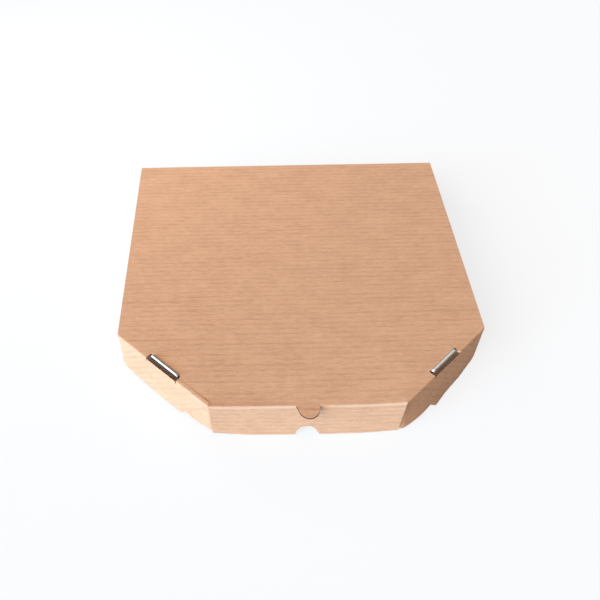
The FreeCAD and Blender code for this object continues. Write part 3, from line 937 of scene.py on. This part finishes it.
class PIZZABOX_OT_tray(bpy.types.Operator):
    """Build the tray: base, back wall, side walls, front wall and ears"""

    bl_idname = "pizzabox.tray"
    bl_label = "Tray"

    def execute(self, context):
        board = context.scene.pizza_box_board
        box = context.scene.pizza_box
        corner = Corner(box)
        bent = 3.0 * MM
        wall = box.wall_top
        self.base(board, box, corner, bent)
        self.back(board, bent)
        self.sides(board, box, corner, bent, wall)
        self.front(board, box, corner, bent, wall)
        return {"FINISHED"}

    def base(self, board, box, corner, bent):
        """The base, with the finger hole's part in it and its cut corners."""
        low, high = WALL_FRONT + bent, BACK - bent
        cut_front = corner.at_y(box.ear_inset, low)
        cut_side = corner.at_x(box.ear_inset, SIDE)
        wall_start = corner.at_x(box.inner_inset, SIDE)[1]
        hole_end = WALL_FRONT + box.hole_reach
        radius = 6.9 * MM
        arc = 1 - np.cos(np.linspace(0, math.pi / 2, 8))
        special = [cut_side[1], wall_start, wall_start + HAIR, hole_end, hole_end + HAIR,
                   *(hole_end - radius * arc[1:])]
        y = levels_between(board, low, high, special)
        edge = np.interp(y, [low, cut_side[1], wall_start, wall_start + HAIR, high],
                         [cut_front[0], SIDE, SIDE, SIDE - bent, SIDE - bent])
        right = rows(y, hole_edge(box, radius, y, hole_end), edge, 14)
        region = joined(right, other_side(right))

        def place(x, y, depth):
            return np.column_stack([x, y, -depth])

        make_piece("tray_base", "tray", [whole_board(board, region, place)], ("tray",))

    def back(self, board, bent):
        """The back wall, up to where the lid's fold begins."""
        half = SIDE - 0.4 * MM
        fold_drop = 6 * MM
        q = levels_between(board, -bent, TOP - fold_drop)
        region = rows(q, -half, half, 41)

        def place(x, y, depth):
            edge = line_along(x, BACK, 0.0)
            return tray_fold(board, edge, np.array([0.0, -1.0, 0.0]), y, depth)

        make_piece("back_wall", "tray", [whole_board(board, region, place)])

        q = np.linspace(-board.fold_reach, fold_drop, 33)
        end = np.interp(q, [0, 2 * MM], [HALF_WIDTH, half])
        strip = rows(q, -end, end, 91)

        def place_fold(x, y, depth):
            edge = line_along(x, BACK, TOP)
            points = crease(board, board.crease_radius, edge, np.array([0.0, -1.0, 0.0]), UP,
                            math.pi / 2, y, depth)
            points[:, 2] += lid_sink(board, x, BACK + np.minimum(y, 0))
            return points

        part = thicken(strip, crushed(board), place_fold)
        make_fold("back_fold", [part])

    def sides(self, board, box, corner, bent, wall):
        """The side walls, each with its inner ear at the front and a short ear at the back."""
        start_y = corner.at_x(box.inner_inset, SIDE)[1]
        foot = board.thickness + 0.3 * MM
        rear = BACK - board.thickness - 0.3 * MM
        near = 2.4 * MM
        rear_ear = 34 * MM
        y = levels_between(board, start_y, rear - near,
                           [start_y + near, start_y + near + HAIR])
        top = np.where(y > start_y + near + HAIR / 2, wall, foot)
        region = rows(y, -bent, top, 14)

        def place(x, y, depth):
            edge = np.column_stack([np.full_like(x, SIDE), y, np.zeros_like(x)])
            return tray_fold(board, edge, np.array([-1.0, 0.0, 0.0]), x, depth)

        parts = [whole_board(board, region, place)]

        turn = math.atan2(box.corner_front, box.corner_side)
        s_crease = (SIDE - corner.middle[0] + box.inner_inset * corner.out[0]) / corner.along[0]
        length = s_crease + box.ear_lap
        y = levels_between(board, start_y - length, start_y + near)
        region = rows(y, foot, wall, 16)

        def place_ear(x, y, depth):
            return plan_turn(board, (SIDE, start_y), (0.0, 1.0), (1.0, 0.0), turn,
                             start_y - y, x, depth)

        parts.append(whole_board(board, region, place_ear))

        y = levels_between(board, rear - near, rear + rear_ear)
        taper = np.interp(y, [rear, rear + rear_ear], [wall, wall - 3 * MM])
        region = rows(y, foot, taper, 16)

        def place_rear(x, y, depth):
            return plan_turn(board, (SIDE, rear), (0.0, -1.0), (1.0, 0.0), math.pi / 2,
                             y - rear, x, depth)

        parts.append(whole_board(board, region, place_rear))
        make_piece("right_side_wall", "tray", parts)
        make_piece("left_side_wall", "tray", [mirrored(part) for part in parts])

    def front(self, board, box, corner, bent, wall):
        """The front wall with its finger hole, and its two outer ears with their tabs."""
        turn = math.atan2(box.corner_side, box.corner_front)
        crease = corner.at_y(box.ear_inset, WALL_FRONT)
        foot = board.thickness + 0.3 * MM
        near = 2.4 * MM
        radius = 7 * MM
        arc = 1 - np.cos(np.linspace(0, math.pi / 2, 8))
        special = [foot, foot + HAIR, box.hole_rise, box.hole_rise + HAIR,
                   *(box.hole_rise - radius * arc[1:])]
        q = levels_between(board, -bent, wall, special)
        slope = box.corner_front / box.corner_side
        end = np.where(q <= foot + 1e-9, crease[0] + slope * np.maximum(-q, 0),
                       crease[0] - near)
        right = rows(q, hole_edge(box, radius, q, box.hole_rise), end, 24)
        region = joined(right, other_side(right))

        def place(x, y, depth):
            edge = line_along(x, WALL_FRONT, 0.0)
            points = tray_fold(board, edge, np.array([0.0, 1.0, 0.0]), y, depth)
            points[:, 2] *= 1 + lid_sink(board, x, FRONT) / wall
            return points

        parts = [whole_board(board, region, place)]

        s_crease = (crease - corner.middle) @ corner.along
        length = box.ear_lap - s_crease
        q = levels_between(board, foot, wall)
        region = rows(q, -near, length, 46)

        crown_high = 1.7 * MM
        neck_top = TAB_TOP - crown_high
        middle = -s_crease
        neck = rows(np.linspace(wall, neck_top, 6), middle - box.tab_half,
                    middle + box.tab_half, 30)
        crown_q = neck_top + crown_high * np.sin(np.linspace(0, math.pi / 2, 10))
        past = np.clip(crown_q - neck_top, 0, crown_high)
        half = box.tab_half - crown_high + np.sqrt(np.maximum(crown_high ** 2 - past ** 2, 0))
        crown = rows(crown_q, middle - half, middle + half, 40)

        def place_ear(hand):
            def at(x, y, depth):
                points = plan_turn(board, crease, (-1.0, 0.0), (0.0, -1.0), turn, x, y, depth)
                flare = ear_flare(hand, x + s_crease, y, wall)
                return points + flare[:, None] * level(corner.out)
            return at

        # The tab's neck is all near-black cut paper: painted shade of the deep gap in the slot under
        # the crown.
        neck_shade_layers = [(-0.55 * board.thickness, -0.9 * board.thickness, "cut")]
        rise = (crown[0][:, 1] - neck_top) / crown_high
        for hand, swell in ((1, 0.42), (-1, 0.24)):
            bulge = board.thickness * (0.5 - swell * np.sqrt(1 - 0.9 * rise ** 3))
            crown_layers = [(-bulge, -board.thickness + 0.7 * bulge, "inner")]
            side = [whole_board(board, region, place_ear(hand)),
                    thicken(neck, neck_shade_layers, place_ear(hand)),
                    thicken(crown, crown_layers, place_ear(hand))]
            parts += side if hand > 0 else [mirrored(part) for part in side]
        make_piece("front_wall", "tray", parts)


# The stage.

class PIZZABOX_OT_stage(bpy.types.Operator):
    """Set up the floor, the lamps and the camera"""

    bl_idname = "pizzabox.stage"
    bl_label = "Stage"

    def execute(self, context):
        stage = context.scene.pizza_box_stage
        scene = context.scene
        scene.view_settings.view_transform = "Standard"
        self.floor(stage)
        self.lamps(stage, scene)
        self.camera(stage, scene)
        return {"FINISHED"}

    def floor(self, stage):
        """A wide flat floor just under the box."""
        half = 4.0
        points = np.array([[-half, -half], [half, -half], [half, half], [-half, half]])
        mesh = bpy.data.meshes.new("floor")
        mesh.from_pydata([(x, y, -0.1 * MM) for x, y in points], [], [(0, 1, 2, 3)])
        floor = bpy.data.objects.new("floor", mesh)
        bpy.context.scene.collection.objects.link(floor)
        material = bpy.data.materials.new("white_floor")
        material.use_nodes = True
        tree = material.node_tree
        tree.nodes.clear()
        diffuse = add_node(tree, "ShaderNodeBsdfDiffuse")
        diffuse.inputs["Color"].default_value = (*stage.floor, 1.0)
        white = add_node(tree, "ShaderNodeEmission", Strength=1.0)
        path = add_node(tree, "ShaderNodeLightPath")
        seen = maths(tree, "MULTIPLY", path.outputs["Is Camera Ray"], stage.floor_glow)
        mix = add_node(tree, "ShaderNodeMixShader")
        tree.links.new(seen, mix.inputs[0])
        tree.links.new(diffuse.outputs[0], mix.inputs[1])
        tree.links.new(white.outputs[0], mix.inputs[2])
        out = add_node(tree, "ShaderNodeOutputMaterial")
        tree.links.new(mix.outputs[0], out.inputs["Surface"])
        mesh.materials.append(material)

    def lamps(self, stage, scene):
        """A wide soft key lamp at the front left, a low cool lamp beside it that brightens the
        faces turned to the left, a window at the back left, and the even light of the room."""
        for name, strength, angle, colour, way in (
                ("key_lamp", stage.key, stage.key_angle, (1.0, 1.0, 1.0), (-0.93, -0.80, 0.80)),
                ("side_lamp", stage.side, math.radians(30), (0.08, 0.5, 1.0), (-0.9, -0.5, 0.06))):
            sun = bpy.data.lights.new(name, "SUN")
            sun.energy = strength
            sun.angle = angle
            sun.color = colour
            lamp = bpy.data.objects.new(name, sun)
            lamp.matrix_world = Vector(way).to_track_quat("Z", "Y").to_matrix().to_4x4()
            scene.collection.objects.link(lamp)
        area = bpy.data.lights.new("window_lamp", "AREA")
        area.shape = "DISK"
        area.size = stage.window_size
        area.energy = stage.window
        window = bpy.data.objects.new("window_lamp", area)
        place = Vector((-0.45, 0.35, 0.36))
        aim = (place - Vector((-0.08, 0.08, 0.0))).to_track_quat("Z", "Y").to_matrix().to_4x4()
        window.matrix_world = Matrix.Translation(place) @ aim
        scene.collection.objects.link(window)
        world = bpy.data.worlds.new("white_room")
        world.use_nodes = True
        tree = world.node_tree
        tree.nodes.clear()
        path = add_node(tree, "ShaderNodeLightPath")
        seen = maths(tree, "MAXIMUM", path.outputs["Is Camera Ray"], path.outputs["Is Glossy Ray"])
        strength = maths(tree, "MULTIPLY_ADD", seen, 1.0 - stage.room, stage.room)
        light = add_node(tree, "ShaderNodeBackground")
        light.inputs["Color"].default_value = (1.0, 1.0, 1.0, 1.0)
        tree.links.new(strength, light.inputs["Strength"])
        out = add_node(tree, "ShaderNodeOutputWorld")
        tree.links.new(light.outputs[0], out.inputs["Surface"])
        scene.world = world

    def camera(self, stage, scene):
        """The camera at the photograph's angle."""
        data = bpy.data.cameras.new("camera")
        data.sensor_width = 36.0
        data.lens = stage.lens
        data.shift_x = stage.shift
        camera = bpy.data.objects.new("camera", data)
        turn = (Matrix.Rotation(stage.yaw, 4, "Z") @ Matrix.Rotation(stage.pitch, 4, "X") @
                Matrix.Rotation(stage.roll, 4, "Z"))
        place = Matrix.Translation((stage.view_x, stage.view_y, stage.view_z))
        scene.collection.objects.link(camera)
        camera.matrix_world = place @ turn
        scene.camera = camera


class PIZZABOX_PT_sidebar(bpy.types.Panel):
    """The pizza box's sizes, colours and steps"""

    bl_idname = "PIZZABOX_PT_sidebar"
    bl_label = "Pizza box"
    bl_space_type = "VIEW_3D"
    bl_region_type = "UI"
    bl_category = "Pizza box"

    def draw(self, context):
        layout = self.layout
        for group in (context.scene.pizza_box_board, context.scene.pizza_box,
                      context.scene.pizza_box_finish, context.scene.pizza_box_stage):
            column = layout.column(align=True)
            for name in group.bl_rna.properties.keys():
                if name not in ("rna_type", "name"):
                    column.prop(group, name)
        for step in STEPS:
            layout.operator(step.bl_idname)


STEPS = (PIZZABOX_OT_papers, PIZZABOX_OT_lid, PIZZABOX_OT_front_flap, PIZZABOX_OT_corner_flaps,
         PIZZABOX_OT_tray, PIZZABOX_OT_stage)
CLASSES = (BoardSizes, BoxSizes, Finish, StageSettings, *STEPS, PIZZABOX_PT_sidebar)


def register():
    for made in CLASSES:
        bpy.utils.register_class(made)
    bpy.types.Scene.pizza_box_board = bpy.props.PointerProperty(type=BoardSizes)
    bpy.types.Scene.pizza_box = bpy.props.PointerProperty(type=BoxSizes)
    bpy.types.Scene.pizza_box_finish = bpy.props.PointerProperty(type=Finish)
    bpy.types.Scene.pizza_box_stage = bpy.props.PointerProperty(type=StageSettings)


def unregister():
    for name in ("pizza_box_stage", "pizza_box_finish", "pizza_box", "pizza_box_board"):
        delattr(bpy.types.Scene, name)
    for made in reversed(CLASSES):
        bpy.utils.unregister_class(made)


def main():
    register()
    bpy.ops.pizzabox.papers()
    bpy.ops.pizzabox.lid()
    bpy.ops.pizzabox.front_flap()
    bpy.ops.pizzabox.corner_flaps()
    bpy.ops.pizzabox.tray()
    bpy.ops.pizzabox.stage()


if __name__ == "__main__":
    main()
